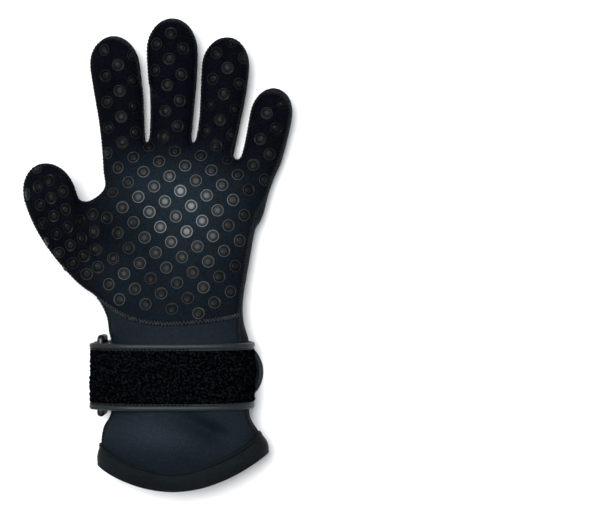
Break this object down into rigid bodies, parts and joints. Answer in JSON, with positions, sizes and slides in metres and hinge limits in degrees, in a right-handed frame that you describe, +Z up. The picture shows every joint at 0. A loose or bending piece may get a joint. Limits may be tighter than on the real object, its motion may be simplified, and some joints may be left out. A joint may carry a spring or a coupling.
{
  "type": "diving glove",
  "caption": "Left-hand neoprene diving glove lying palm up: grip-print palm, plain cuff with a taped hem, and a hook-and-loop wrist strap folded back through a plastic ring",
  "frame": {"origin": "on the surface that the glove lies on, below the middle of its bounding box", "axes": "+X across the palm from the thumb to the little finger, +Y along the hand from the cuff to the fingertips, +Z up, out of the palm"},
  "size_m": [0.1578, 0.2864, 0.0535],
  "materials": {
    "palm_neoprene": "dark blue-grey knit-faced neoprene with glossy grip dots",
    "back_neoprene": "charcoal knit-faced neoprene",
    "hem_cloth": "black smooth stretch tape",
    "webbing": "black woven backing",
    "pile": "black fuzzy hook-and-loop pile",
    "edging": "dark grey rolled edging tape with a slight sheen",
    "ring_plastic": "black moulded plastic"
  },
  "bodies": {
    "root": {"palm_panel": "palm_neoprene", "back_panel": "back_neoprene", "wrist_panel": "back_neoprene", "hem_tape": "hem_cloth", "strap_webbing": "webbing", "strap_pile": "pile", "strap_edging": "edging", "strap_ring": "ring_plastic"}
  },
  "joints": []
}
